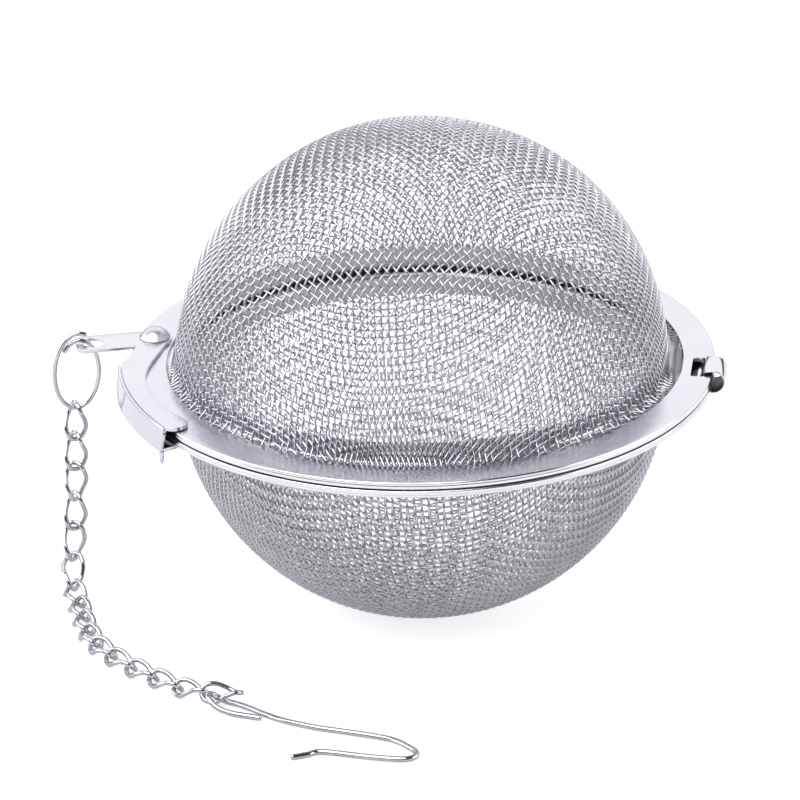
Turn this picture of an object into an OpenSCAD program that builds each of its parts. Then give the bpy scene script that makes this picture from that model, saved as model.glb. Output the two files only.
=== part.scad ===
// Woven-mesh tea ball: two hinged half balls of wire cloth in rolled steel
// rims, held shut by a swinging channel latch, with a ring, a twisted-link
// chain and a wire cup hook. Millimetres, +Z up. The origin is the point
// under the ball's centre where it stands; the hinge is at +X.

/* [Ball] */
// Height of the parting plane between the two halves above the table
part_h = 30.2; // [30:0.1:31]
// Outer radius of each cloth dome
dome_r = 29.45; // [29.3:0.05:29.5]
// Thickness of the woven cloth
cloth_t = 0.4; // [0.36:0.02:0.42]
// Radius of the pressed flat that the ball stands on
foot_r = 2.4; // [2:0.2:3]

/* [Rims] */
// Outer radius of the rolled hem
rim_r = 35; // [34.9:0.05:35.1]
// Inner radius of the flat flange
flange_in = 31.25; // [31:0.05:31.4]
// Radius of the rolled hem's section
hem_r = 0.45; // [0.44:0.01:0.46]
// Height of the inner collar above the parting plane
collar_h = 3.2; // [2.6:0.1:3.6]
// Radius of the inner collar's outer face
collar_r = 28.96; // [28.8:0.02:28.98]

/* [Hinge] */
// Width of the hinge tongue
tongue_w = 4.8; // [4:0.2:5]
// Width of the slot that the tongue hooks into
slot_w = 5.4; // [5.4:0.1:5.8]
// Sheet thickness of the tongue
tongue_t = 0.4; // [0.3:0.05:0.45]

/* [Latch] */
// Sheet thickness of the latch
latch_t = 0.45; // [0.4:0.05:0.5]
// Radius of the latch's outer wall, from the ball's axis
latch_r = 36.2; // [36.1:0.05:36.4]
// Radius of the latch's rivet centre, from the ball's axis
rivet_at = 32.65; // [32.4:0.05:32.8]
// Length of the latch's tail from the rivet
tail_l = 9.6; // [9.5:0.1:9.8]
// Width of the tail
tail_w = 4.4; // [4:0.1:4.6]
// Diameter of the hole in the tail
tail_hole = 2.2; // [2.1:0.1:2.3]

/* [Chain] */
// Wire diameter of the chain links
link_wire = 0.6; // [0.5:0.05:0.6]
// Half length of a link's wire centre line
link_a = 2.4; // [2.39:0.01:2.41]
// Half width of a link's wire centre line
link_b = 1.22; // [1.2:0.01:1.24]
// Wire diameter of the oval ring
ring_wire = 0.56; // [0.5:0.02:0.56]
// Wire diameter of the cup hook
hook_wire = 0.7; // [0.6:0.05:0.7]

/* [Hidden] */
$fn = 96;

// colours
steel_cloth = [0.78, 0.78, 0.80];
steel_sheet = [0.84, 0.84, 0.87];
steel_wire = [0.72, 0.72, 0.74];

// heights above the parting plane, through one rim from the inside out
gap_z = 0.1;
wrap_z = 0.32;
collar_z0 = 0.34;
collar_z1 = 0.54;
flange_z0 = 0.78;
rim_z = 1.0;
hem_x = rim_r - hem_r;
hem_z = gap_z + hem_r;
dome_z = 0.78;
skirt_r = 32.05;
flare_r = 1.3;

// points of an arc, with its centre, radius, first and last angle and count
function arc(c, r, a0, a1, n) =
    [for (k = [0:n]) let (a = a0 + (a1 - a0) * k / n) [c[0] + r * cos(a), c[1] + r * sin(a)]];
function pol(r, a) = [r * cos(a), r * sin(a)];

// ---------------------------------------------------------------- cloth
// half section of a dome above the parting plane: sphere, flared foot and
// a skirt that lies between the two sheets of the rim
module cloth_section(flat) {
    mid = dome_r - cloth_t / 2;
    fx = mid + flare_r - 0.02;
    z0 = (flange_z0 + collar_z1) / 2 + flare_r;
    h = cloth_t / 2;
    hs = 0.1;
    top = flat > 0 ? dome_z + sqrt(dome_r * dome_r - flat * flat) : dome_z + dome_r;
    a0 = asin((z0 - dome_z) / dome_r);
    a1 = flat > 0 ? acos(flat / dome_r) : 90;
    b1 = flat > 0 ? asin((top - cloth_t - dome_z) / (dome_r - cloth_t)) : 90;
    polygon(concat(
        [[skirt_r, z0 - flare_r + hs], [fx, z0 - flare_r + hs]],
        arc([fx, z0], flare_r - hs, 262, 200, 8),
        arc([0, dome_z], dome_r, a0 + 1, a1, 40),
        flat > 0 ? [[0, top], [0, top - cloth_t]] : [],
        arc([0, dome_z], dome_r - cloth_t, b1, a0 + 1, 40),
        arc([fx, z0], flare_r + hs, 190, 262, 9),
        [[fx, z0 - flare_r - hs], [skirt_r, z0 - flare_r - hs]]));
}
module dome(flat) {
    rotate_extrude() cloth_section(flat);
}

// ---------------------------------------------------------------- rims
// flat flange, rolled hem and the sheet turned under
module rim_section() {
    translate([hem_x, hem_z]) circle(r = hem_r, $fn = 32);
    translate([flange_in, flange_z0]) square([hem_x - flange_in, rim_z - flange_z0]);
    translate([33.3, gap_z]) square([hem_x - 33.3, wrap_z - gap_z]);
}
// inner sheet under the cloth, bent up into the collar
module collar_section() {
    t = 0.22;
    x1 = collar_r;
    polygon(concat(
        [[34.0, collar_z0], [34.0, collar_z1], [x1 + 0.5, collar_z1]],
        arc([x1 + 0.5, collar_z1 + 0.5], 0.5, 270, 180, 5),
        [[x1 - 0.04, collar_h], [x1 - t, collar_h]],
        arc([x1 + 0.5, collar_z1 + 0.5], 0.5 + t - 0.02, 180, 270, 5)));
}
// the slot for the tongue, through every sheet of the upper rim
module slot_cut() {
    translate([32.3, -slot_w / 2, -0.5]) cube([1.7, slot_w, 2]);
}
module rivet_at_place() {
    rotate([0, 0, 175]) translate([rivet_at, 0, 0]) children();
}

// ---------------------------------------------------------------- hinge
// side view of the tongue, x outward and y up, from the rim round the hem
// of the other half and down into its slot
module tongue_section() {
    c = [hem_x + 0.42, hem_z - 0.1];
    ro = 1.45;
    ri = ro - tongue_t;
    k = [33.55, c[1] + ro - 0.55];
    polygon(concat(
        [[33.6, c[1] - ro]],
        arc(c, ro, 270, 450, 24),
        arc(k, 0.55, 90, 180, 6),
        [[33.0, 0.25], [33.12, 0.12], [33.28, 0.12], [33.0 + tongue_t, 0.25]],
        arc([k[0], k[1]], 0.55 - tongue_t, 180, 90, 4),
        arc(c, ri, 450, 270, 24),
        [[33.6, c[1] - ri]]));
}

// ---------------------------------------------------------------- latch
rivet_p = pol(rivet_at, 175);
tail_a = 196;
strip = 1.0;
hole_p = rivet_p + pol(tail_l - strip - tail_hole / 2, tail_a);
wall_a0 = 188.5;
wall_a1 = 219.5;
flare = 0.45;
plate_z = 1.1;
// outline of the top plate, round the finger tip, rivet boss and tail
tip_c = pol(34.35, 218.4);
end_c = rivet_p + pol(tail_l - 1.1, tail_a);
module plate_outline() {
    difference() {
        union() {
            polygon(concat(
                arc([0, 0], latch_r, wall_a0, wall_a1, 20),
                arc(tip_c, 1.7, 232, 380, 14),
                arc([0, 0], 33.5, 211, 198, 6),
                arc(rivet_p, 2.1, 318, 360, 6),
                arc(rivet_p, 2.1, 0, 106, 10),
                [rivet_p + pol(2.6, tail_a) + pol(tail_w / 2, tail_a + 90)]));
            polygon(concat(
                [rivet_p + pol(tail_w / 2 - 0.2, tail_a + 90)],
                arc(end_c + pol(tail_w / 2 - 1.1, tail_a + 90), 1.1, tail_a + 90, tail_a, 6),
                arc(end_c + pol(tail_w / 2 - 1.1, tail_a - 90), 1.1, tail_a, tail_a - 90, 6),
                [rivet_p + pol(tail_w / 2 - 0.2, tail_a - 90)]));
        }
        translate(rivet_p) circle(r = 1.06, $fn = 48);
        translate(hole_p) circle(r = tail_hole / 2, $fn = 48);
    }
}
// wedge between two angles, for cutting rings into arcs
module wedge(a0, a1) {
    polygon(concat([[0, 0]], arc([0, 0], 60, a0, a1, 4)));
}
// a section spun round the ball's axis, between two angles
module swept_arc(a0, a1) {
    intersection() {
        rotate_extrude($fn = 120) children();
        translate([0, 0, -6]) linear_extrude(12) wedge(a0, a1);
    }
}

// ---------------------------------------------------------------- wires
// tube swept along points p, closed into a loop or with round-nosed ends;
// f gives each ring's turn about the path so that loops meet themselves
function unit(v) = v / norm(v);
function tangent(p, k, closed) =
    let (n = len(p))
    closed ? unit(p[(k + 1) % n] - p[(k + n - 1) % n])
           : unit(p[min(k + 1, n - 1)] - p[max(k - 1, 0)]);
// a side vector for each ring: an outward guide made square to the path
function side(t, g) = unit(g - (g * t) * t);
module tube(p, guide, r, closed, sides = 8) {
    n = len(p);
    rings = [for (k = [0:n - 1])
        let (t = tangent(p, k, closed), a = side(t, guide[k]), b = cross(t, a))
        [for (j = [0:sides - 1]) p[k] + r * (cos(360 * (j + 0.5) / sides) * a + sin(360 * (j + 0.5) / sides) * b)]];
    pts = [for (q = rings) for (v = q) v];
    last = closed ? n - 1 : n - 2;
    walls = [for (k = [0:last]) for (j = [0:sides - 1])
        let (k2 = (k + 1) % n, j2 = (j + 1) % sides)
        each [[k * sides + j, k2 * sides + j2, k2 * sides + j], [k * sides + j, k * sides + j2, k2 * sides + j2]]];
    caps = closed ? [] : [
        [for (j = [0:sides - 1]) sides - 1 - j],
        [for (j = [0:sides - 1]) (n - 1) * sides + j]];
    polyhedron(points = pts, faces = [for (w = concat(walls, caps)) [for (k = [len(w) - 1:-1:0]) w[k]]], convexity = 6);
}

// ---------------------------------------------------------------- ring
// an oval of wire whose ends lap over each other above the tail
ring_a = 2.6;
ring_b = 4.5;
ring_lean = 5;
ring_z = part_h - 2.2;
function ring_point(t) =
    let (s = 0.93 + 0.2 * t / 360,
         x = s * ring_a * sin(t), y = s * ring_b * cos(t),
         u = x * cos(ring_lean) + y * sin(ring_lean),
         q = rivet_p + pol(tail_l - 0.1 - u, tail_a))
    [q[0], q[1], ring_z + y * cos(ring_lean) - x * sin(ring_lean)];
ring_mid = [rivet_p[0] + (tail_l - 0.1) * cos(tail_a), rivet_p[1] + (tail_l - 0.1) * sin(tail_a), ring_z];
ring_path = [for (k = [0:42]) ring_point(-48 + 10 * k)];

// ---------------------------------------------------------------- chain
// each link's fall below level, compass heading and roll, in degrees, and
// its extra looseness on the one before it
fall = [88, 88, 88, 86, 82, 37, 6, 0, 0, 0, 0, 0, 0, 0, -4, -4];
head = [-170, -170, -170, -170, -120, -86, -72, -74, -73, -66, -52, -44, -40, -36, -28, -4];
roll = [110, 108, 80, 106, -54, -20, 0, 0, 0, 0, 0, 0, 0, 0, 0, 16];
slack = link_wire + 0.09;
function loose(i) = i < 5 ? 0.12 : i < 7 ? 0.1 : i < 12 ? 0.26 : i < 13 ? 0.18 : 0.1;
function dir(i) = [cos(fall[i]) * cos(head[i]), cos(fall[i]) * sin(head[i]), -sin(fall[i])];
function across(i) =
    let (v = [-sin(head[i]), cos(head[i]), 0], w = cross(dir(i), v))
    v * cos(roll[i]) + w * sin(roll[i]);
// start bow of each link, one after the other down the chain
function start(i) = i == 0
    ? ring_point(180) + [0, 0, (link_wire + ring_wire) / 2 + 0.06]
    : start(i - 1) + 2 * link_a * dir(i - 1) - (slack + loose(i)) * unit(dir(i - 1) + dir(i));
// wire centre line of one link, twisted a quarter turn from end to end
link_n = 28;
function round_off(v) = sign(v) * pow(abs(v), 0.75);
function link_point(t) =
    let (u = link_a * round_off(cos(t)), s = link_b * round_off(sin(t)), q = -45 * sin(90 * u / link_a))
    [u, s * cos(q), s * sin(q)];
link_path = [for (k = [0:link_n - 1]) link_point(360 * (k + 0.5) / link_n)];
module link(i) {
    u = dir(i);
    v = across(i);
    w = cross(u, v);
    c = start(i) + link_a * u;
    color(steel_wire)
        multmatrix([[u[0], v[0], w[0], c[0]], [u[1], v[1], w[1], c[1]], [u[2], v[2], w[2], c[2]], [0, 0, 0, 1]])
            tube(link_path, [for (p = link_path) unit(p)], link_wire / 2, true);
}

// ---------------------------------------------------------------- hook
// bends of the hook's wire, from the short end round the eye, along the
// shank, round the bow and out to the kinked tip
rest_z = 0.42;
hook_path = [
    [-15.9, -35.1, rest_z], [-17.6, -34.7, rest_z], [-19.4, -34.2, 0.46], [-21, -33.6, 0.75],
    [-22, -32.9, 1.35], [-22.3, -32.1, 1.7], [-22, -31.4, 1.45], [-21.2, -31.2, 0.9],
    [-20.2, -31.4, 0.55], [-18.9, -31.8, rest_z], [-17.4, -32.7, rest_z], [-15.9, -33.8, rest_z],
    [-13.9, -35.1, rest_z], [-11.8, -36.1, rest_z], [-8.9, -37.1, rest_z], [-5.9, -37.8, rest_z],
    [-3.3, -38.4, rest_z], [-0.8, -39.1, rest_z], [0.7, -39.8, rest_z], [2, -40.9, rest_z],
    [3.1, -42.1, rest_z], [3.4, -43.1, rest_z], [2.9, -43.9, rest_z], [1.5, -44.3, rest_z],
    [-2.5, -43.9, rest_z], [-7.5, -43.1, rest_z], [-9.2, -43.9, rest_z], [-10.8, -44.7, rest_z]];

// ================================================================ nodes
module lower_mesh() {
    color(steel_cloth)
        translate([0, 0, part_h]) mirror([0, 0, 1]) dome(foot_r);
}
module lower_rim() {
    color(steel_sheet) translate([0, 0, part_h]) {
        mirror([0, 0, 1]) rotate_extrude() rim_section();
        translate([0, tongue_w / 2, 0]) rotate([90, 0, 0])
            linear_extrude(tongue_w) tongue_section();
    }
}
module lower_collar() {
    color(steel_sheet) translate([0, 0, part_h]) mirror([0, 0, 1])
        rotate_extrude() collar_section();
}
module upper_mesh() {
    color(steel_cloth) translate([0, 0, part_h]) difference() {
        dome(0);
        rivet_at_place() translate([0, 0, -1]) cylinder(r = 1.2, h = 3, $fn = 48);
    }
}
module upper_rim() {
    color(steel_sheet) translate([0, 0, part_h]) difference() {
        rotate_extrude() rim_section();
        slot_cut();
        rivet_at_place() translate([0, 0, -1]) cylinder(r = 1.03, h = 3, $fn = 48);
        rivet_at_place() translate([0, 0, -1]) cylinder(r = 1.5, h = 1 + wrap_z + 0.01, $fn = 48);
    }
}
module upper_collar() {
    color(steel_sheet) translate([0, 0, part_h]) difference() {
        rotate_extrude() collar_section();
        slot_cut();
        rivet_at_place() translate([0, 0, -1]) cylinder(r = 1.03, h = 3, $fn = 48);
    }
}
module latch_rivet() {
    color(steel_sheet) translate([0, 0, part_h]) rivet_at_place() rotate_extrude($fn = 64)
        polygon(concat(
            [[0, 0.12], [1.4, 0.12], [1.4, 0.32], [1.0, 0.32], [1.0, 1.6], [1.85, 1.6], [1.85, 1.68]],
            arc([0, 1.6 + 0.85 - 2.5], 2.5, 46, 90, 8)));
}
module latch() {
    color(steel_sheet) translate([0, 0, part_h]) {
        translate([0, 0, plate_z]) linear_extrude(latch_t) plate_outline();
        // outer wall, leaning out a little towards its foot
        swept_arc(wall_a0, wall_a1) polygon([
            [latch_r - latch_t, plate_z + latch_t], [latch_r, plate_z + latch_t],
            [latch_r + flare, -1.6], [latch_r + flare - latch_t, -1.6]]);
        // lip under the lower rim
        swept_arc(wall_a0 + 2, wall_a1) polygon([
            [33.8, -1.6 + latch_t], [latch_r + 0.1, -1.6 + latch_t], [latch_r + 0.1, -1.6], [33.8, -1.6]]);
        // pointed tab at the wall's end
        translate([latch_r * cos(wall_a1), latch_r * sin(wall_a1), 0]) rotate([90, 0, wall_a1 + 90])
            linear_extrude(0.4) polygon([[-1, -1.5], [0, -1.5], [0, -2.9], [-0.2, -3.1], [-0.4, -2.9]]);
    }
}
module chain_ring() {
    color(steel_wire)
        tube(ring_path, [for (p = ring_path) unit(p - ring_mid)], ring_wire / 2, false);
}
module cup_hook() {
    color(steel_wire)
        tube(hook_path, [for (p = hook_path) [0, 0, 1]], hook_wire / 2, false);
}

lower_mesh();
lower_rim();
lower_collar();
upper_mesh();
upper_rim();
upper_collar();
latch_rivet();
latch();
chain_ring();
link(0);  // chain_link_01
link(1);  // chain_link_02
link(2);  // chain_link_03
link(3);  // chain_link_04
link(4);  // chain_link_05
link(5);  // chain_link_06
link(6);  // chain_link_07
link(7);  // chain_link_08
link(8);  // chain_link_09
link(9);  // chain_link_10
link(10);  // chain_link_11
link(11);  // chain_link_12
link(12);  // chain_link_13
link(13);  // chain_link_14
link(14);  // chain_link_15
link(15);  // chain_link_16
cup_hook();
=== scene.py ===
"""Tea ball of woven steel cloth: two hinged halves, swinging latch, ring,
twisted-link chain and cup hook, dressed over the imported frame."""
import math

import bmesh
import bpy
import numpy as np
from mathutils import Matrix, Vector


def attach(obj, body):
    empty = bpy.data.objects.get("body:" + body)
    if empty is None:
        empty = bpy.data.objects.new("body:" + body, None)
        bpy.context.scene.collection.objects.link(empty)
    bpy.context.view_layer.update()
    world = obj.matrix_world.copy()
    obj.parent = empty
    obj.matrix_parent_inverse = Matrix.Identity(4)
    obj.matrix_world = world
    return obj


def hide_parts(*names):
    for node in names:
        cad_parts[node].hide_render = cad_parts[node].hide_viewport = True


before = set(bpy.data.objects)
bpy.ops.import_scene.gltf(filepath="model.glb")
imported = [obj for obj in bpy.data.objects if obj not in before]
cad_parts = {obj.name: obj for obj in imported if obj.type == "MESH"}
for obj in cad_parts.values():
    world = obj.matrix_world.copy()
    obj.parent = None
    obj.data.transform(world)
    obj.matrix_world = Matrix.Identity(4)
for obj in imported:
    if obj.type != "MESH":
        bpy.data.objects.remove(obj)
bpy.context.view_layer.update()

scene = bpy.context.scene
scene.view_settings.view_transform = "Standard"
scene.view_settings.look = "None"

MM = 0.001
PH = 30.2            # height of the parting plane


def pol(r, a):
    return np.array([r * math.cos(math.radians(a)), r * math.sin(math.radians(a))])


def unit(v):
    return v / np.linalg.norm(v)


# ------------------------------------------------------------------ camera
cam = bpy.data.objects.new("camera", bpy.data.cameras.new("camera"))
scene.collection.objects.link(cam)
cam.data.lens = 301.5
cam.data.sensor_width = 36.0
cam.data.clip_start, cam.data.clip_end = 0.05, 10.0
_r = Vector((0.993950, 0.108136, -0.019252))
_u = Vector((-0.027421, 0.414031, 0.909850))
_b = Vector((0.106358, -0.903817, 0.414491))
_m = Matrix((_r, _u, _b)).transposed().to_4x4()
_m.translation = Vector((0.082605, -0.725016, 0.358115))
cam.matrix_world = _m
scene.camera = cam


# --------------------------------------------------------------- materials
def new_material(name):
    m = bpy.data.materials.new(name)
    m.use_nodes = True
    nt = m.node_tree
    return m, nt, nt.nodes["Principled BSDF"]


def node(nt, kind, **inputs):
    n = nt.nodes.new(kind)
    for k, v in inputs.items():
        n.inputs[k.replace("_", " ")].default_value = v
    return n


def noise(nt, coords, scale, detail=3.0, stretch=None):
    mp = nt.nodes.new("ShaderNodeMapping")
    if stretch is not None:
        mp.inputs["Scale"].default_value = stretch
    nt.links.new(coords, mp.inputs["Vector"])
    n = node(nt, "ShaderNodeTexNoise", Scale=scale, Detail=detail)
    nt.links.new(mp.outputs["Vector"], n.inputs["Vector"])
    return n.outputs["Fac"]


def ramp(nt, fac, stops):
    r = nt.nodes.new("ShaderNodeValToRGB")
    while len(r.color_ramp.elements) < len(stops):
        r.color_ramp.elements.new(0.5)
    for e, (p, c) in zip(r.color_ramp.elements, stops):
        e.position = p
        e.color = (*c, 1.0)
    nt.links.new(fac, r.inputs["Fac"])
    return r.outputs["Color"]


def span(nt, fac, lo, hi, a=0.3, b=0.7):
    n = nt.nodes.new("ShaderNodeMapRange")
    n.inputs["From Min"].default_value, n.inputs["From Max"].default_value = a, b
    n.inputs["To Min"].default_value, n.inputs["To Max"].default_value = lo, hi
    nt.links.new(fac, n.inputs["Value"])
    return n.outputs["Result"]


def steel(name, dark, light, rough, grain, bump, stretch=None, cloud=260.0):
    """Bare metal: clouded tint, drawn or rolled grain in the gloss and relief."""
    m, nt, p = new_material(name)
    tc = nt.nodes.new("ShaderNodeTexCoord")
    obj = tc.outputs["Object"]
    p.inputs["Metallic"].default_value = 1.0
    clouds = noise(nt, obj, cloud, 4.0)
    nt.links.new(ramp(nt, clouds, [(0.3, dark), (0.7, light)]), p.inputs["Base Color"])
    fine = noise(nt, obj, grain, 3.0, stretch)
    nt.links.new(span(nt, fine, rough[0], rough[1]), p.inputs["Roughness"])
    if bump > 0:
        b = node(nt, "ShaderNodeBump", Strength=bump, Distance=0.00004)
        nt.links.new(fine, b.inputs["Height"])
        nt.links.new(b.outputs["Normal"], p.inputs["Normal"])
    return m


MAT_CLOTH = steel("drawn mesh wire", (0.61, 0.605, 0.645), (0.74, 0.735, 0.775),
                  (0.08, 0.18), 2600.0, 0.0, cloud=420.0)
MAT_SHEET = steel("rolled steel sheet", (0.77, 0.76, 0.83), (0.82, 0.81, 0.87),
                  (0.20, 0.27), 2600.0, 0.035, stretch=(1.0, 0.3, 1.0), cloud=90.0)
MAT_COLLAR = steel("collar sheet", (0.58, 0.575, 0.62), (0.68, 0.675, 0.71),
                   (0.18, 0.26), 1400.0, 0.04)
MAT_BENT = steel("pressed sheet edge", (0.77, 0.76, 0.83), (0.82, 0.81, 0.87),
                 (0.09, 0.14), 2600.0, 0.0, cloud=90.0)
# painted shade and painted reflection: near-black sheet for the inside of the tongue's curl and a dark strip on its
# bend
MAT_PAINTED_SHADE_AND_REFLECTION = steel("painted shade and dark reflection of a bend", (0.05, 0.05, 0.055), (0.11, 0.108, 0.115),
                 (0.34, 0.44), 2600.0, 0.04, cloud=90.0)
# painted reflection: a lighter copy of the sheet stands in for the bright table the bead reflects; its lower roughness
# is real gloss
MAT_BEAD_PAINTED_BRIGHT = steel("rim bead with painted reflection", (0.90, 0.90, 0.92), (0.96, 0.96, 0.97),
                 (0.14, 0.20), 2200.0, 0.0, cloud=120.0)
MAT_WIRE = steel("bright drawn wire", (0.59, 0.585, 0.63), (0.74, 0.735, 0.775),
                 (0.07, 0.15), 1900.0, 0.03)
MAT_STUD = steel("turned rivet head", (0.72, 0.71, 0.77), (0.82, 0.81, 0.86),
                 (0.30, 0.38), 1700.0, 0.03)


# ------------------------------------------------------------ mesh helpers
def piece(name, verts, faces, body, mat, smooth=True, crease=None):
    """A mesh in millimetres on a CAD body."""
    me = bpy.data.meshes.new(name)
    me.from_pydata([tuple(v) for v in (np.asarray(verts, float) * MM).tolist()], [], faces)
    me.validate()
    me.materials.append(mat)
    o = bpy.data.objects.new(name, me)
    scene.collection.objects.link(o)
    if smooth:
        me.shade_smooth()
        if crease is not None:
            me.set_sharp_from_angle(angle=math.radians(crease))
    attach(o, body)
    return o


def quad_piece(name, verts, quads, body, mat, uv=None):
    """The same for a large all-quad mesh given as arrays."""
    me = bpy.data.meshes.new(name)
    v = np.asarray(verts, np.float32) * MM
    q = np.asarray(quads, np.int32)
    me.vertices.add(len(v))
    me.vertices.foreach_set("co", v.ravel())
    me.loops.add(q.size)
    me.loops.foreach_set("vertex_index", q.ravel())
    me.polygons.add(len(q))
    me.polygons.foreach_set("loop_start", np.arange(0, q.size, 4, dtype=np.int32))
    me.update(calc_edges=True)
    me.validate()
    if uv is not None:
        layer = me.uv_layers.new(name="OFBake")
        layer.data.foreach_set("uv", np.asarray(uv, np.float32).ravel())
    me.materials.append(mat)
    me.shade_smooth()
    o = bpy.data.objects.new(name, me)
    scene.collection.objects.link(o)
    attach(o, body)
    return o


def arc(c, r, a0, a1, n):
    return [(c[0] + r * math.cos(math.radians(a0 + (a1 - a0) * k / n)),
             c[1] + r * math.sin(math.radians(a0 + (a1 - a0) * k / n))) for k in range(n + 1)]


def ring_of(profile, n=256, flip=False):
    """Verts and faces of a closed section (r, z) turned round the ball's axis."""
    p = np.array(profile, float)
    m = len(p)
    a = np.linspace(0, 2 * np.pi, n, endpoint=False)
    s = -1.0 if flip else 1.0
    v = np.array([[r * math.cos(t), r * math.sin(t), PH + s * z] for t in a for r, z in p])
    f = []
    for i in range(n):
        for j in range(m):
            a0, a1 = i * m + j, i * m + (j + 1) % m
            b0, b1 = ((i + 1) % n) * m + j, ((i + 1) % n) * m + (j + 1) % m
            f.append((a0, b0, b1, a1) if not flip else (a0, a1, b1, b0))
    return v, f


def tube(path, r, closed, guide, sides=12, cap=4):
    """Round wire along a path, closed, or with domed ends."""
    p = np.array(path, float)
    n = len(p)
    if closed:
        t = np.roll(p, -1, 0) - np.roll(p, 1, 0)
    else:
        t = np.gradient(p, axis=0)
    t /= np.linalg.norm(t, axis=1)[:, None]
    g = np.array(guide, float)
    a = g - (g * t).sum(1)[:, None] * t
    a /= np.linalg.norm(a, axis=1)[:, None]
    b = np.cross(t, a)
    ang = 2 * np.pi * np.arange(sides) / sides
    rings = [(p[k], t[k], a[k], b[k], r) for k in range(n)]
    if not closed:
        first, last = rings[0], rings[-1]
        lead, tail = [], []
        for k in range(1, cap + 1):
            q = math.pi / 2 * k / (cap + 0.35)
            lead.append((first[0] - first[1] * r * 0.8 * math.sin(q), first[1], first[2], first[3], r * math.cos(q)))
            tail.append((last[0] + last[1] * r * 0.8 * math.sin(q), last[1], last[2], last[3], r * math.cos(q)))
        rings = lead[::-1] + rings + tail
    v = np.array([c + rr * (math.cos(w) * x + math.sin(w) * y) for c, _, x, y, rr in rings for w in ang])
    m = len(rings)
    f = []
    for k in range(m if closed else m - 1):
        k2 = (k + 1) % m
        for j in range(sides):
            j2 = (j + 1) % sides
            f.append((k * sides + j, k * sides + j2, k2 * sides + j2, k2 * sides + j))
    if not closed:
        f.append(tuple(range(sides - 1, -1, -1)))
        f.append(tuple((m - 1) * sides + j for j in range(sides)))
    return v, f


def smooth_path(pts, n, closed=False):
    """Catmull-Rom through the points, resampled evenly."""
    p = np.array(pts, float)
    ext = np.vstack([p[-1], p, p[0], p[1]]) if closed else np.vstack([2 * p[0] - p[1], p, 2 * p[-1] - p[-2]])
    out = []
    segs = len(p) if closed else len(p) - 1
    for i in range(segs):
        a, b, c, d = ext[i], ext[i + 1], ext[i + 2], ext[i + 3]
        for u in np.linspace(0, 1, 16, endpoint=False):
            out.append(0.5 * ((2 * b) + (c - a) * u + (2 * a - 5 * b + 4 * c - d) * u * u
                              + (3 * b - a - 3 * c + d) * u ** 3))
    out.append(p[0] if closed else p[-1])
    out = np.array(out)
    s = np.concatenate([[0], np.cumsum(np.linalg.norm(np.diff(out, axis=0), axis=1))])
    want = np.linspace(0, s[-1], n, endpoint=not closed)
    return np.stack([np.interp(want, s, out[:, k]) for k in range(p.shape[1])], 1)


# -------------------------------------------------------------- woven domes
WIRE_R = 0.125
CREST = 0.118
DOME_R = 29.25       # middle of the cloth
DOME_Z = 0.78
FLARE = 1.2
SKIRT_Z = 0.66       # height of the cloth where the collar grips it
FX = DOME_R + FLARE
FZ = SKIRT_Z + FLARE
S_SPHERE = DOME_R * (math.pi / 2 - math.asin((FZ - DOME_Z) / DOME_R))
S_FLARE = S_SPHERE + FLARE * math.pi / 2
S_END = S_FLARE + 0.9


def net(pitch):
    """Cloth laid on a sphere without stretch: crossing (i, j) as unit vectors."""
    n = int(S_END / pitch) + 3
    d = pitch / DOME_R
    P = np.zeros((n + 1, n + 1, 3))
    k = np.arange(n + 1)
    P[:, 0] = np.stack([np.sin(k * d), 0 * k, np.cos(k * d)], 1)
    P[0, :] = np.stack([0 * k, np.sin(k * d), np.cos(k * d)], 1)
    for i in range(n):
        for j in range(n):
            a, b, c = P[i + 1, j], P[i, j + 1], P[i, j]
            w = np.cross(a, b)
            L = np.linalg.norm(w)
            if L < 1e-6:
                P[i + 1, j + 1] = c
                continue
            w /= L
            P[i + 1, j + 1] = c - 2 * (c @ w) * w
    full = np.zeros((2 * n + 1, 2 * n + 1, 3))
    full[n:, n:] = P
    full[:n + 1, n:] = P[::-1] * [-1, 1, 1]
    full[n:, :n + 1] = P[:, ::-1] * [1, -1, 1]
    full[:n + 1, :n + 1] = P[::-1, ::-1] * [-1, -1, 1]
    return full, n


def profile(s):
    """Radius, height above the parting plane and outward normal (r, z) at a
    distance s along the cloth from the pole."""
    r, z, nr, nz = (np.zeros_like(s) for _ in range(4))
    a = s <= S_SPHERE
    th = s[a] / DOME_R
    r[a], z[a] = DOME_R * np.sin(th), DOME_Z + DOME_R * np.cos(th)
    nr[a], nz[a] = np.sin(th), np.cos(th)
    b = (s > S_SPHERE) & (s <= S_FLARE)
    q = (s[b] - S_SPHERE) / FLARE
    r[b], z[b] = FX - FLARE * np.cos(q), FZ - FLARE * np.sin(q)
    nr[b], nz[b] = np.cos(q), np.sin(q)
    c = s > S_FLARE
    r[c], z[c] = FX + s[c] - S_FLARE, SKIRT_Z
    nr[c], nz[c] = 0, 1
    return r, z, nr, nz


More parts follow.
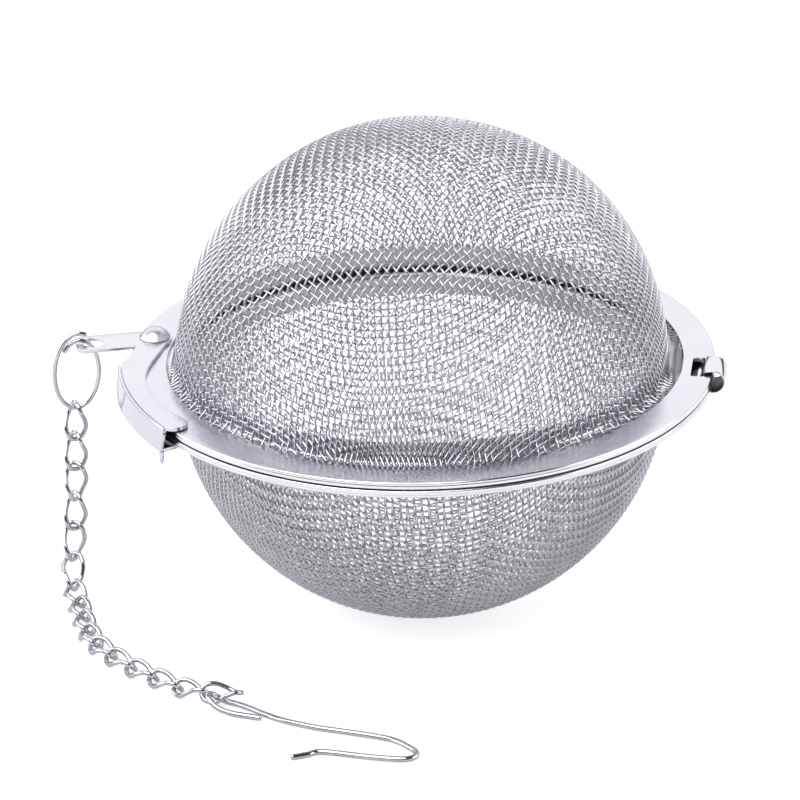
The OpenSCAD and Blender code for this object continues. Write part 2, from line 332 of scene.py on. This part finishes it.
def woven_dome(name, body, turn, pitch, low, foot=0.0, dents=()):
    """All the wires of one dome, in four pieces."""
    full, n = net(pitch)
    sub = 4
    sides = 6
    for way in (0, 1):
        grid = full if way == 0 else np.swapaxes(full, 0, 1)
        for half in (0, 1):
            V, Q, UV, base = [], [], [], 0
            rows = range(0, n + 1) if half == 0 else range(n + 1, 2 * n + 1)
            strips = len(rows)
            for number, i in enumerate(rows):
                line = grid[i]
                m = len(line)
                u = np.arange(0, m - 1, 1.0 / sub)
                k = u.astype(int)
                w = (u - k)[:, None]
                p = line[k] * (1 - w) + line[np.minimum(k + 1, m - 1)] * w
                good = np.linalg.norm(p, axis=1) > 1e-6
                p /= np.maximum(np.linalg.norm(p, axis=1), 1e-9)[:, None]
                th = np.arccos(np.clip(p[:, 2], -1, 1))
                s = th * DOME_R
                az = np.arctan2(p[:, 1], p[:, 0]) + math.radians(turn)
                # the run through the pole side that stays on the cloth
                mid = int(np.argmin(s))
                ok = (s <= S_END) & good
                lo = mid
                while lo > 0 and ok[lo - 1]:
                    lo -= 1
                hi = mid
                while hi < len(s) - 1 and ok[hi + 1]:
                    hi += 1
                if not ok[mid] or hi - lo < 3:
                    continue
                s, az, u = s[lo:hi + 1], az[lo:hi + 1], u[lo:hi + 1]
                r, z, nr, nz = profile(s)
                crest = CREST * np.clip((S_FLARE - s) / 1.0, 0.0, 1.0)
                lift = crest * np.cos(math.pi * (u + i)) * (1 if way == 0 else -1)
                r = r + lift * nr
                z = z + lift * nz
                if foot > 0:
                    top = DOME_Z + math.sqrt(DOME_R ** 2 - foot ** 2)
                    z = np.where(r < foot, np.minimum(z, top + lift), z)
                c = np.stack([r * np.cos(az), r * np.sin(az), (PH - z) if low else (PH + z)], 1)
                nn = np.stack([nr * np.cos(az), nr * np.sin(az), -nz if low else nz], 1)
                for toward, wide, deep in dents:
                    away = np.degrees(np.arccos(np.clip(nn @ unit(np.array(toward)), -1, 1)))
                    c = c + (deep * np.exp(-(away / wide) ** 2) * (s < S_SPHERE - 3))[:, None] * nn
                t = np.gradient(c, axis=0)
                t /= np.linalg.norm(t, axis=1)[:, None]
                a = nn - (nn * t).sum(1)[:, None] * t
                a /= np.linalg.norm(a, axis=1)[:, None]
                b = np.cross(t, a)
                ang = 2 * np.pi * (np.arange(sides) + 0.5) / sides
                ring = (c[:, None, :] + WIRE_R * (np.cos(ang)[None, :, None] * a[:, None, :]
                                                  + np.sin(ang)[None, :, None] * b[:, None, :]))
                L = len(c)
                V.append(ring.reshape(-1, 3))
                kk, jj = np.meshgrid(np.arange(L - 1), np.arange(sides), indexing="ij")
                j2 = (jj + 1) % sides
                q = np.stack([kk * sides + jj, kk * sides + j2, (kk + 1) * sides + j2, (kk + 1) * sides + jj], -1)
                Q.append(q.reshape(-1, 4) + base)
                x0, x1 = kk / (L - 1), (kk + 1) / (L - 1)
                y0 = (number + 0.15 + 0.7 * jj / sides) / strips
                y1 = (number + 0.15 + 0.7 * (jj + 1) / sides) / strips
                UV.append(np.stack([x0, y0, x0, y1, x1, y1, x1, y0], -1).reshape(-1, 8))
                # end caps as folded quads of the six-sided end
                for ring0, turnq in ((0, False), (L - 1, True)):
                    e = [base + ring0 * sides + jx for jx in range(sides)]
                    two = [[e[0], e[3], e[2], e[1]], [e[0], e[5], e[4], e[3]]]
                    if turnq:
                        two = [x[::-1] for x in two]
                    Q.append(np.array(two))
                    UV.append(np.tile([[0.5 if turnq else 0.4, (number + 0.5) / strips] * 4], (2, 1)))
                base += L * sides
            V, Q, UV = np.concatenate(V), np.concatenate(Q), np.concatenate(UV)
            o = quad_piece(f"{name}_{'warp' if way == 0 else 'weft'}_{'a' if half == 0 else 'b'}",
                           V, Q, body, MAT_CLOTH, UV)
            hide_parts("lower_mesh" if low else "upper_mesh")
            print(o.name, len(Q) * 2)


# the upper dome is a little out of round: flattened on the far left shoulder
# and fuller on the right one
DENTS = [((-0.685, 0.236, 0.69), 24.0, -0.45), ((0.60, 0.39, 0.695), 18.0, 0.1), ((0.1, 0.2, 0.97), 26.0, -0.35)]
woven_dome("upper_cloth", "upper_half", 47.0, 0.92, False, dents=DENTS)
woven_dome("lower_cloth", "lower_half", 14.5, 0.885, True, foot=2.4)

# ---------------------------------------------------------------- metal work
for name in ("lower_collar", "upper_collar"):
    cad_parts[name].data.materials.clear()
    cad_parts[name].data.materials.append(MAT_COLLAR)


def soften(o, width, segments=3, angle=35):
    """Rounds the sharp edges of a piece and applies it."""
    b = o.modifiers.new("edge", "BEVEL")
    b.width, b.segments, b.limit_method = width * MM, segments, "ANGLE"
    b.angle_limit = math.radians(angle)
    b.harden_normals = False
    bake_down(o)
    o.data.shade_smooth()
    o.data.set_sharp_from_angle(angle=math.radians(50))


def bake_down(o):
    dg = bpy.context.evaluated_depsgraph_get()
    me = bpy.data.meshes.new_from_object(o.evaluated_get(dg), depsgraph=dg)
    o.modifiers.clear()
    old = o.data
    o.data = me
    bpy.data.meshes.remove(old)
    me.name = o.name


# rolled rim: flat flange, tight outer bend, upright band with a fine seam,
# sheet turned back underneath
RIM = ([(30.65, 0.84), (30.66, 0.98), (30.71, 1.01), (32.0, 1.0), (33.9, 0.99)]
       + arc((34.79, 0.77), 0.21, 92, 2, 7)
       + [(35.005, 0.66), (34.985, 0.61), (34.985, 0.59), (35.01, 0.54), (35.01, 0.35)]
       + arc((34.83, 0.28), 0.18, 0, -88, 6)
       + [(33.9, 0.1), (33.36, 0.1), (33.3, 0.16), (33.3, 0.27), (33.36, 0.32), (34.3, 0.32)]
       + arc((34.45, 0.55), 0.23, -80, 80, 7)
       + [(33.6, 0.79), (30.71, 0.81)])

def off_centre(v):
    """The flange's inner edge is cut a little off centre, towards +X."""
    out = []
    for x, y, z in v:
        r = math.hypot(x, y)
        t = min(max((32.0 - r) / 1.35, 0.0), 1.0)
        k = (r + t * (0.2 + 0.35 * x / r + 0.17 * y / r)) / r
        out.append((x * k, y * k, z))
    return out


v, f = ring_of(RIM[::-1], 288)
v = off_centre(v)
upper_rim = piece("upper_rim_sheet", v, f, "upper_half", MAT_SHEET, crease=60)
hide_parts("upper_rim")
v, f = ring_of(RIM[::-1], 288, flip=True)
v = off_centre(v)
lower_rim = piece("lower_rim_sheet", v, f, "lower_half", MAT_SHEET, crease=60)
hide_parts("lower_rim")

# slot for the tongue, with rounded corners
cut_me = bpy.data.meshes.new("slot_cutter")
cut = bpy.data.objects.new("slot_cutter", cut_me)
scene.collection.objects.link(cut)
corner = 0.3
SHIFT_Y = -0.4       # slot and tongue sit a little towards -Y
outline = []
for cx, cy, a0 in ((34.0 - corner, 2.7 - corner, 0), (32.3 + corner, 2.7 - corner, 90),
                   (32.3 + corner, -2.7 + corner, 180), (34.0 - corner, -2.7 + corner, 270)):
    outline += arc((cx, cy), corner, a0, a0 + 90, 4)
k = len(outline)
cut_me.from_pydata([(x * MM, (y + SHIFT_Y) * MM, (PH + z) * MM) for z in (-0.02, 2.0) for x, y in outline], [],
                   [tuple(range(k))[::-1], tuple(range(k, 2 * k))]
                   + [(i, (i + 1) % k, k + (i + 1) % k, k + i) for i in range(k)])
cut_me.validate()
bm = bmesh.new()
bm.from_mesh(cut_me)
bmesh.ops.recalc_face_normals(bm, faces=bm.faces)
bm.to_mesh(cut_me)
bm.free()
for o in (upper_rim,):
    bm = bmesh.new()
    bm.from_mesh(o.data)
    bmesh.ops.recalc_face_normals(bm, faces=bm.faces)
    bm.to_mesh(o.data)
    bm.free()
    mod = o.modifiers.new("slot", "BOOLEAN")
    mod.object, mod.operation, mod.solver = cut, "DIFFERENCE", "EXACT"
    bake_down(o)
    o.data.shade_smooth()
    o.data.set_sharp_from_angle(angle=math.radians(40))
bpy.data.objects.remove(cut)
# painted reflection: faces of the bead band, beyond r = 34.93 mm, take the lighter bead material
for o in (upper_rim, lower_rim):
    o.data.materials.append(MAT_BEAD_PAINTED_BRIGHT)
    for face in o.data.polygons:
        if math.hypot(face.center.x, face.center.y) > 34.93 * MM:
            face.material_index = 1

# tongue: one strip from the lower rim, round the hem and into the slot
TC, TRO, TT = (34.97, 0.06), 1.46, 0.21
outer = [(33.2, -1.01), (33.6, -1.08), (34.1, -1.3), (34.5, TC[1] - TRO + 0.01)] + arc(TC, TRO, 270, 450, 40)[1:]
outer += [(34.3, TC[1] + TRO - 0.01), (34.0, TC[1] + TRO - 0.09), (33.8, TC[1] + TRO - 0.3)]
bend = len(outer) - 1
outer += [(33.66, 0.95), (33.6, 0.72), (33.48, 0.6), (33.25, 0.52), (33.02, 0.46)]
inner = [(33.02, 0.26), (33.3, 0.3), (33.6, 0.38), (33.74, 0.5), (33.8, 0.72), (33.86, 0.95),
         (33.98, 1.14), (34.12, TC[1] + TRO - TT - 0.06), (34.4, TC[1] + TRO - TT - 0.005)]
inner += arc(TC, TRO - TT, 450, 270, 40)[:-1] + [(34.5, -1.19), (34.2, -1.1), (33.9, -0.95), (33.2, -0.85)]
sec = outer + inner
HW, MID_Y = 2.2, SHIFT_Y - 0.03
v = [(x, y + MID_Y, PH + z) for y in (-HW, HW) for x, z in sec]
k = len(sec)
f = [tuple(range(k)), tuple(range(k, 2 * k))[::-1]] + [(i, k + i, k + (i + 1) % k, (i + 1) % k) for i in range(k)]
o = piece("hinge_tongue", v, f, "lower_half", MAT_BENT)
o.data.materials.append(MAT_PAINTED_SHADE_AND_REFLECTION)
for i, face in enumerate(o.data.polygons):       # painted shade on the inside of the curl, and a painted dark reflection on three faces of the steep bend
    j = i - 2
    if len(outer) <= j < k - 1 or bend <= j < bend + 3:
        face.material_index = 1
bm = bmesh.new()
bm.from_mesh(o.data)
bmesh.ops.recalc_face_normals(bm, faces=bm.faces)
bm.to_mesh(o.data)
bm.free()
soften(o, 0.07, 3, 50)
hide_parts("lower_rim")

# ------------------------------------------------------------- latch and rivet
RIVET = pol(32.65, 175)
TAIL_A, TAIL_L, TAIL_W = 196, 9.6, 4.4
LATCH_R, LATCH_T, PLATE_Z = 36.2, 0.45, 1.1
END_C = RIVET + pol(TAIL_L - 1.1, TAIL_A)
HOLE = RIVET + pol(TAIL_L - 1.0 - 1.1, TAIL_A)
TIP_C = pol(34.35, 218.4)


def flat_sheet(name, rings, z0, z1, edge, body, mat):
    """Sheet cut to an outline with round holes, its edges eased."""
    cu = bpy.data.curves.new(name, "CURVE")
    cu.dimensions, cu.fill_mode = "2D", "BOTH"
    for ring in rings:
        sp = cu.splines.new("POLY")
        sp.points.add(len(ring) - 1)
        for pt, (x, y) in zip(sp.points, ring):
            pt.co = (x * MM, y * MM, 0, 1)
        sp.use_cyclic_u = True
    cu.extrude = ((z1 - z0) / 2 - edge) * MM
    cu.bevel_depth, cu.bevel_resolution, cu.offset = edge * MM, 2, -edge * MM
    tmp = bpy.data.objects.new("tmp", cu)
    scene.collection.objects.link(tmp)
    dg = bpy.context.evaluated_depsgraph_get()
    me = bpy.data.meshes.new_from_object(tmp.evaluated_get(dg), depsgraph=dg)
    bpy.data.objects.remove(tmp)
    me.transform(Matrix.Translation((0, 0, (PH + (z0 + z1) / 2) * MM)))
    bm = bmesh.new()
    bm.from_mesh(me)
    bmesh.ops.remove_doubles(bm, verts=bm.verts, dist=1e-7)
    bmesh.ops.recalc_face_normals(bm, faces=bm.faces)
    bm.to_mesh(me)
    bm.free()
    me.materials.clear()
    me.materials.append(mat)
    me.name = name
    o = bpy.data.objects.new(name, me)
    scene.collection.objects.link(o)
    me.shade_smooth()
    me.set_sharp_from_angle(angle=math.radians(32))
    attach(o, body)
    return o


def disc(c, r, n=48):
    return [tuple(c + pol(r, 360 * k / n)) for k in range(n)]


A = TAIL_A
plate = (arc((0, 0), LATCH_R - 0.38, 188.5, 219.2, 40)
         + arc(TIP_C, 1.7, 236, 380, 24)
         + arc((0, 0), 33.5, 211, 205, 6)
         + [tuple(q[:2]) for q in smooth_path([(-30.84, -13.09), (-31.55, -11.0), (-32.0, -8.9), (-32.12, -6.8),
                                               (-31.86, -3.9), (-31.3, -0.9), tuple(RIVET + pol(2.1, 318))], 22)[1:-1]]
         + arc(RIVET, 2.1, 318, 466, 26)
         + arc(END_C + pol(TAIL_W / 2 - 1.1, A - 90), 1.1, A - 90, A, 10)
         + arc(END_C + pol(TAIL_W / 2 - 1.1, A + 90), 1.1, A, A + 90, 10)
         + [tuple(RIVET + pol(2.6, A) + pol(TAIL_W / 2, A + 90))])
o = flat_sheet("latch_plate", [plate, disc(RIVET, 1.06), disc(HOLE, 1.28)], PLATE_Z, PLATE_Z + LATCH_T, 0.07,
               "latch", MAT_SHEET)
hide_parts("latch")


def swept(profile_rz, a0, a1, n):
    """Verts and faces of a closed section carried round part of the axis."""
    m = len(profile_rz)
    v, f = [], []
    for i in range(n + 1):
        t = math.radians(a0 + (a1 - a0) * i / n)
        v += [(r * math.cos(t), r * math.sin(t), PH + z) for r, z in profile_rz]
    for i in range(n):
        f += [(i * m + j, i * m + (j + 1) % m, (i + 1) * m + (j + 1) % m, (i + 1) * m + j) for j in range(m)]
    return v, f + [tuple(range(m))[::-1], tuple(n * m + j for j in range(m))]


top = PLATE_Z + LATCH_T
wall = ([(35.3, top - 0.41), (35.985, top - 0.41), (35.985, top - 0.02), (36.0, top)]
        + arc((LATCH_R - 0.15, top - 0.20), 0.20, 82, 8, 8)
        + [(36.42, 0.0), (36.62, -1.35)] + arc((36.42, -1.4), 0.2, -5, -90, 5)
        + [(36.2, -1.6), (33.9, -1.6), (33.8, -1.5), (33.8, -1.25), (33.9, -1.15), (36.05, -1.15)]
        + arc((36.05, -1.0), 0.15, -90, -8, 4) + [(35.98, 0.0), (35.78, 0.95)]
        + arc((35.63, 0.95), 0.15, 5, 90, 4) + [(35.3, PLATE_Z - 0.003)])
v, f = swept(wall, 188.5, 219.5, 56)
o = piece("latch_wall", v, f, "latch", MAT_BENT)
bm = bmesh.new()
bm.from_mesh(o.data)
bmesh.ops.recalc_face_normals(bm, faces=bm.faces)
bm.to_mesh(o.data)
bm.free()
soften(o, 0.05, 2, 50)
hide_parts("latch")

# pointed tab at the open end of the wall
ta = math.radians(219.5)
out_d, run_d = np.array([math.cos(ta), math.sin(ta), 0]), np.array([math.sin(ta), -math.cos(ta), 0])
tab = [(36.1, -1.3), (36.62, -1.3), (36.62, -2.3), (36.52, -3.0), (36.4, -3.1), (36.25, -2.9), (36.12, -2.2)]
v = [tuple(out_d * r + run_d * w + np.array([0, 0, PH + z])) for w in (0.0, 0.4) for r, z in tab]
k = len(tab)
f = [tuple(range(k)), tuple(range(k, 2 * k))[::-1]] + [(i, k + i, k + (i + 1) % k, (i + 1) % k) for i in range(k)]
o = piece("latch_tab", v, f, "latch", MAT_BENT)
bm = bmesh.new()
bm.from_mesh(o.data)
bmesh.ops.recalc_face_normals(bm, faces=bm.faces)
bm.to_mesh(o.data)
bm.free()
soften(o, 0.05, 2, 40)
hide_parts("latch")

# rivet: foot, shank and domed head with a turned edge
head = ([(0.0, 0.12), (1.3, 0.12), (1.4, 0.17), (1.4, 0.27), (1.35, 0.32), (1.0, 0.32), (1.0, 1.6), (1.8, 1.6)]
        + arc((1.79, 1.68), 0.07, -70, 40, 5) + arc((0, 1.78 - 1.0), 2.04, 29, 90, 18))
n = 64
v, f = [], []
m = len(head)
for i in range(n):
    t = 2 * math.pi * i / n
    v += [(RIVET[0] + r * math.cos(t), RIVET[1] + r * math.sin(t), PH + z) for r, z in head]
for i in range(n):
    a0, b0 = i * m, ((i + 1) % n) * m
    f += [(a0 + j, b0 + j, b0 + j + 1, a0 + j + 1) for j in range(m - 1)]
o = piece("rivet_head", v, f, "upper_half", MAT_STUD)
bm = bmesh.new()
bm.from_mesh(o.data)
bmesh.ops.remove_doubles(bm, verts=bm.verts, dist=1e-7)
bmesh.ops.dissolve_degenerate(bm, edges=bm.edges, dist=1e-7)
bmesh.ops.recalc_face_normals(bm, faces=bm.faces)
bm.to_mesh(o.data)
bm.free()
o.data.shade_smooth()
o.data.set_sharp_from_angle(angle=math.radians(50))
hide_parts("latch_rivet")

# ------------------------------------------------------------- ring and chain
RING_R, LINK_R, HOOK_R = 0.28, 0.3, 0.35


def ring_point(t):
    t = math.radians(t)
    lean = math.radians(5)
    s = 0.93 + 0.2 * math.degrees(t) / 360
    x, y = s * 2.6 * math.sin(t), s * 4.5 * math.cos(t)
    q = RIVET + pol(TAIL_L - 0.1 - (x * math.cos(lean) + y * math.sin(lean)), TAIL_A)
    return np.array([q[0], q[1], PH - 2.2 + y * math.cos(lean) - x * math.sin(lean)])


ring_mid = np.array([*(RIVET + pol(TAIL_L - 0.1, TAIL_A)), PH - 2.2])
rp = np.array([ring_point(t) for t in np.linspace(-48, 372, 121)])
v, f = tube(rp, RING_R, False, rp - ring_mid, 14)
o = piece("ring_wire", v, f, "chain_ring", MAT_WIRE, crease=50)
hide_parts("chain_ring")

FALL = [88, 88, 88, 86, 82, 37, 6, 0, 0, 0, 0, 0, 0, 0, -4, -4]
HEAD = [-170, -170, -170, -170, -120, -86, -72, -74, -73, -66, -52, -44, -40, -36, -28, -4]
ROLL = [110, 108, 80, 106, -54, -20, 0, 0, 0, 0, 0, 0, 0, 0, 0, 16]
LOOSE = [0.12] * 5 + [0.1, 0.1] + [0.26] * 5 + [0.18] + [0.1] * 3
LINK_A, LINK_B = 2.4, 1.22


def chain_frames():
    out, s = [], None
    for i in range(16):
        fa, he, ro = (math.radians(x[i]) for x in (FALL, HEAD, ROLL))
        d = np.array([math.cos(fa) * math.cos(he), math.cos(fa) * math.sin(he), -math.sin(fa)])
        v0 = np.array([-math.sin(he), math.cos(he), 0])
        w0 = np.cross(d, v0)
        y = v0 * math.cos(ro) + w0 * math.sin(ro)
        if s is None:
            s = ring_point(180) + np.array([0, 0, 0.58 + 0.06])
        else:
            s = s + 2 * LINK_A * prev - (0.69 + LOOSE[i]) * unit(prev + d)
        out.append((s + LINK_A * d, d, y, np.cross(d, y)))
        prev = d
    return out


def round_off(v):
    return math.copysign(abs(v) ** 0.75, v)


def link_point(t):
    u = LINK_A * round_off(math.cos(t))
    s = LINK_B * round_off(math.sin(t))
    q = math.radians(-45 * math.sin(math.radians(90 * u / LINK_A)))
    return np.array([u, s * math.cos(q), s * math.sin(q)])


loop = smooth_path([link_point(2 * math.pi * (k + 0.5) / 56) for k in range(56)], 64, closed=True)
for i, (c, d, y, w) in enumerate(chain_frames()):
    M = np.stack([d, y, w])
    v, f = tube(loop @ M + c, LINK_R, True, loop @ M, 12)
    o = piece(f"link_wire_{i + 1:02d}", v, f, f"chain_link_{i + 1:02d}", MAT_WIRE)
    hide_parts(f"chain_link_{i + 1:02d}")

HOOK = [(-15.9, -35.1, .42), (-17.6, -34.7, .42), (-19.4, -34.2, .46), (-21, -33.6, .75), (-22, -32.9, 1.35),
        (-22.3, -32.1, 1.7), (-22, -31.4, 1.45), (-21.2, -31.2, .9), (-20.2, -31.4, .55), (-18.9, -31.8, .42),
        (-17.4, -32.7, .42), (-15.9, -33.8, .42), (-13.9, -35.1, .42), (-11.8, -36.1, .42), (-8.9, -37.1, .42),
        (-5.9, -37.8, .42), (-3.3, -38.4, .42), (-0.8, -39.1, .42), (0.7, -39.8, .42), (2, -40.9, .42),
        (3.1, -42.1, .42), (3.4, -43.1, .42), (2.9, -43.9, .42), (1.5, -44.3, .42), (-2.5, -43.9, .42),
        (-7.5, -43.1, .42), (-9.2, -43.9, .42), (-10.8, -44.7, .42)]
hp = smooth_path(HOOK, 220)
v, f = tube(hp, HOOK_R, False, np.tile([0, 0, 1.0], (len(hp), 1)), 14)
o = piece("hook_wire", v, f, "cup_hook", MAT_WIRE, crease=50)
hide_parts("cup_hook")

# --------------------------------------------------------- floor and lights
fm = bpy.data.meshes.new("floor")
seg = 48
fv = [(0, 0, 0)] + [(0.5 * math.cos(2 * math.pi * k / seg), 0.5 * math.sin(2 * math.pi * k / seg), 0) for k in range(seg)]
fm.from_pydata(fv, [], [(0, 1 + k, 1 + (k + 1) % seg) for k in range(seg)])
floor = bpy.data.objects.new("floor", fm)
scene.collection.objects.link(floor)
m, nt, p = new_material("white table")
p.inputs["Base Color"].default_value = (0.66, 0.66, 0.68, 1)
p.inputs["Emission Color"].default_value = (1, 1, 1, 1)
seen = nt.nodes.new("ShaderNodeLightPath")      # lit from below, mostly towards the lens
# painted shade and painted light: the table's glow, as seen from the ball, is nil under the ball and rises further out
where = node(nt, "ShaderNodeTexCoord")
far = node(nt, "ShaderNodeVectorMath")
far.operation = "LENGTH"
nt.links.new(where.outputs["Object"], far.inputs[0])
shade = span(nt, far.outputs["Value"], 0.0, 0.20, 0.040, 0.080)
mixer = node(nt, "ShaderNodeMix")
mixer.inputs["B"].default_value = 0.66
nt.links.new(seen.outputs["Is Camera Ray"], mixer.inputs["Factor"])
nt.links.new(shade, mixer.inputs["A"])
nt.links.new(mixer.outputs["Result"], p.inputs["Emission Strength"])
p.inputs["Roughness"].default_value = 0.9
p.inputs["Specular IOR Level"].default_value = 0.1
fm.materials.append(m)

world = bpy.data.worlds.new("studio")
scene.world = world
world.use_nodes = True
wt = world.node_tree
bg = wt.nodes["Background"]
tc = wt.nodes.new("ShaderNodeTexCoord")


def glow(axis, edge0, edge1, low, high):
    """Soft-edged patch of sky round an axis: low outside, high inside."""
    d = wt.nodes.new("ShaderNodeVectorMath")
    d.operation = "DOT_PRODUCT"
    wt.links.new(tc.outputs["Generated"], d.inputs[0])
    d.inputs[1].default_value = tuple(Vector(axis).normalized())
    n = wt.nodes.new("ShaderNodeMapRange")
    n.interpolation_type = "SMOOTHSTEP"
    for k, x in (("From Min", edge0), ("From Max", edge1), ("To Min", low), ("To Max", high)):
        n.inputs[k].default_value = x
    wt.links.new(d.outputs["Value"], n.inputs["Value"])
    return n.outputs["Result"]


def plus(a, b):
    n = wt.nodes.new("ShaderNodeMath")
    n.operation = "ADD"
    wt.links.new(a, n.inputs[0])
    wt.links.new(b, n.inputs[1])
    return n.outputs[0]


def times(a, b):
    n = wt.nodes.new("ShaderNodeMath")
    n.operation = "MULTIPLY"
    wt.links.new(a, n.inputs[0])
    wt.links.new(b, n.inputs[1])
    return n.outputs[0]


# white sweep behind, above a dark strip at table height
sky = times(glow((-0.117, 0.993, 0.0), 0.20, 0.55, 0.04, 1.08), glow((0, 0, 1), 0.05, 0.20, 0.03, 1.0))
# key light over the camera, one soft box at each side
sky = plus(sky, glow((-0.25, -0.48, 0.84), 0.83, 0.90, 0.02, 3.0))
sky = plus(sky, glow((-0.95, -0.10, 0.30), 0.87, 0.92, 0.0, 2.0))
sky = plus(sky, glow((0.95, 0.0, 0.30), 0.87, 0.92, 0.0, 2.0))
lp = wt.nodes.new("ShaderNodeLightPath")
mix = wt.nodes.new("ShaderNodeMix")
mix.inputs["B"].default_value = 1.0
wt.links.new(lp.outputs["Is Camera Ray"], mix.inputs["Factor"])
wt.links.new(sky, mix.inputs["A"])
wt.links.new(mix.outputs["Result"], bg.inputs["Color"])
